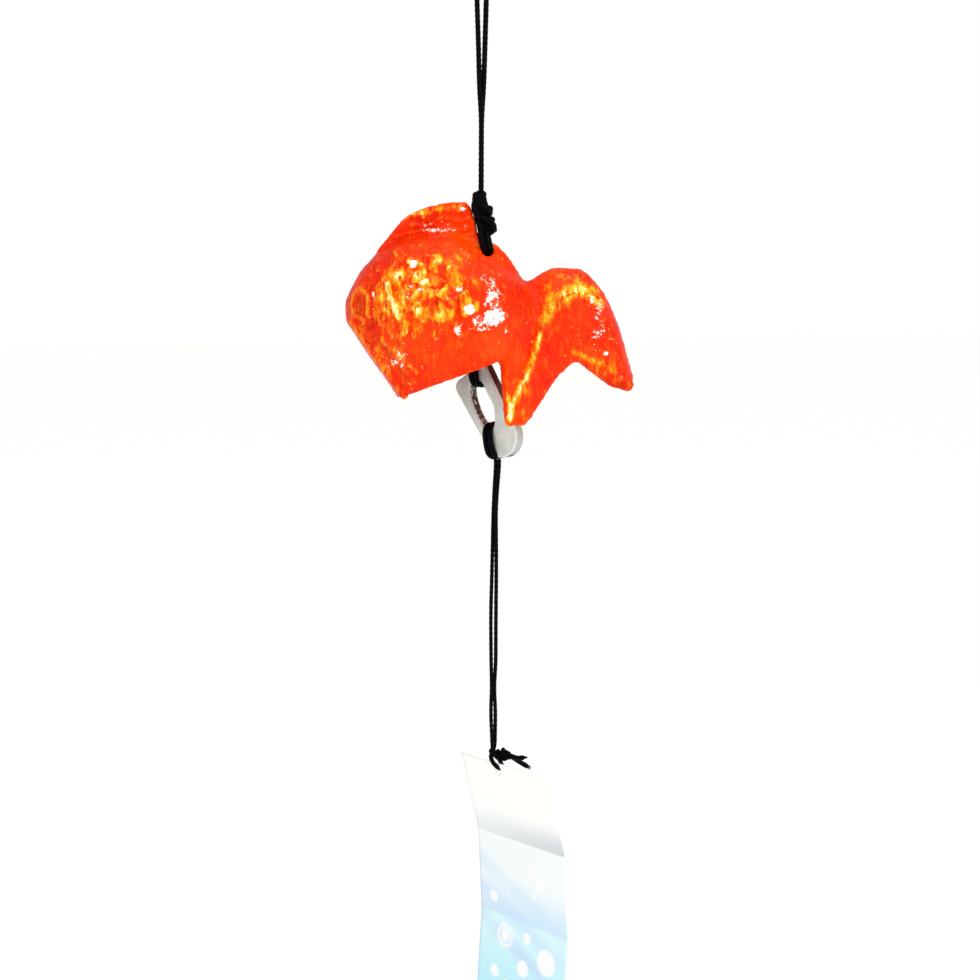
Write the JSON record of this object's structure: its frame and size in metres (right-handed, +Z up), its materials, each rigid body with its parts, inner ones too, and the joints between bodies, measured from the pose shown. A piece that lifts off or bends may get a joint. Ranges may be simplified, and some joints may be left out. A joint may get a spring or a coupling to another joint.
{
  "type": "wind bell",
  "caption": "Cast iron goldfish wind bell on a doubled cord, with a slotted metal clapper inside and a folded paper wind strip below",
  "frame": {"origin": "the point where a hook carries the hanging loop", "axes": "+Z up, +X from the fish's head to its tail, +Y away from the side that is seen; the fish's mid-plane is Y = 0"},
  "size_m": [0.079, 0.0453, 0.4052],
  "materials": {
    "cord": "waxed black braid",
    "bell": "orange-red lacquer over rough casting",
    "clapper": "cast grey metal, dull",
    "strip": "matt paper, white turning pale blue"
  },
  "bodies": {
    "hanger": {"hanging_cord": "cord"},
    "suspension": {"hanging_knot": "cord", "saddle_cord": "cord"},
    "bell": {"fish_bell": "bell"},
    "bell_loop": {"inner_knot": "cord"},
    "clapper_line": {"clapper_cord": "cord"},
    "clapper": {"clapper": "clapper", "clapper_top_hitch": "cord", "clapper_bottom_hitch": "cord"},
    "streamer": {"streamer_cord": "cord"},
    "strip_tie": {"strip_knot": "cord"},
    "strip": {"paper_strip": "strip"}
  },
  "joints": [
    {"name": "bell_turn", "type": "hinge", "parent": "hanger", "child": "suspension", "pos_m": [-0.00155, 0, -0.0975], "axis": [0, 0, 1], "range_deg": [-180, 180]},
    {"name": "bell_rock", "type": "hinge", "parent": "suspension", "child": "bell", "pos_m": [0, 0, -0.1135], "axis": [0, 1, 0], "range_deg": [-25, 1.5]},
    {"name": "clapper_sway", "type": "hinge", "parent": "bell", "child": "bell_loop", "pos_m": [0, 0, -0.1135], "axis": [0, 1, 0], "range_deg": [-8, 12]},
    {"name": "clapper_swing", "type": "hinge", "parent": "bell_loop", "child": "clapper_line", "pos_m": [0, 0, -0.1191], "axis": [1, 0, 0], "range_deg": [-5, 5]},
    {"name": "clapper_tilt", "type": "hinge", "parent": "clapper_line", "child": "clapper", "pos_m": [-0.00259, 0.00233, -0.14175], "axis": [0.766, -0.6428, 0], "range_deg": [-6, 6]},
    {"name": "streamer_swing", "type": "hinge", "parent": "clapper", "child": "streamer", "pos_m": [0.00193, -0.00147, -0.17361], "axis": [0.766, -0.6428, 0], "range_deg": [-35, 35]},
    {"name": "strip_turn", "type": "hinge", "parent": "streamer", "child": "strip_tie", "pos_m": [-0.00032, 0.00015, -0.2565], "axis": [0, 0, 1], "range_deg": [-90, 90]},
    {"name": "strip_swing", "type": "hinge", "parent": "strip_tie", "child": "strip", "pos_m": [0.00084, -0.00123, -0.2608], "axis": [0.6428, -0.766, 0], "range_deg": [-18, 18]}
  ]
}
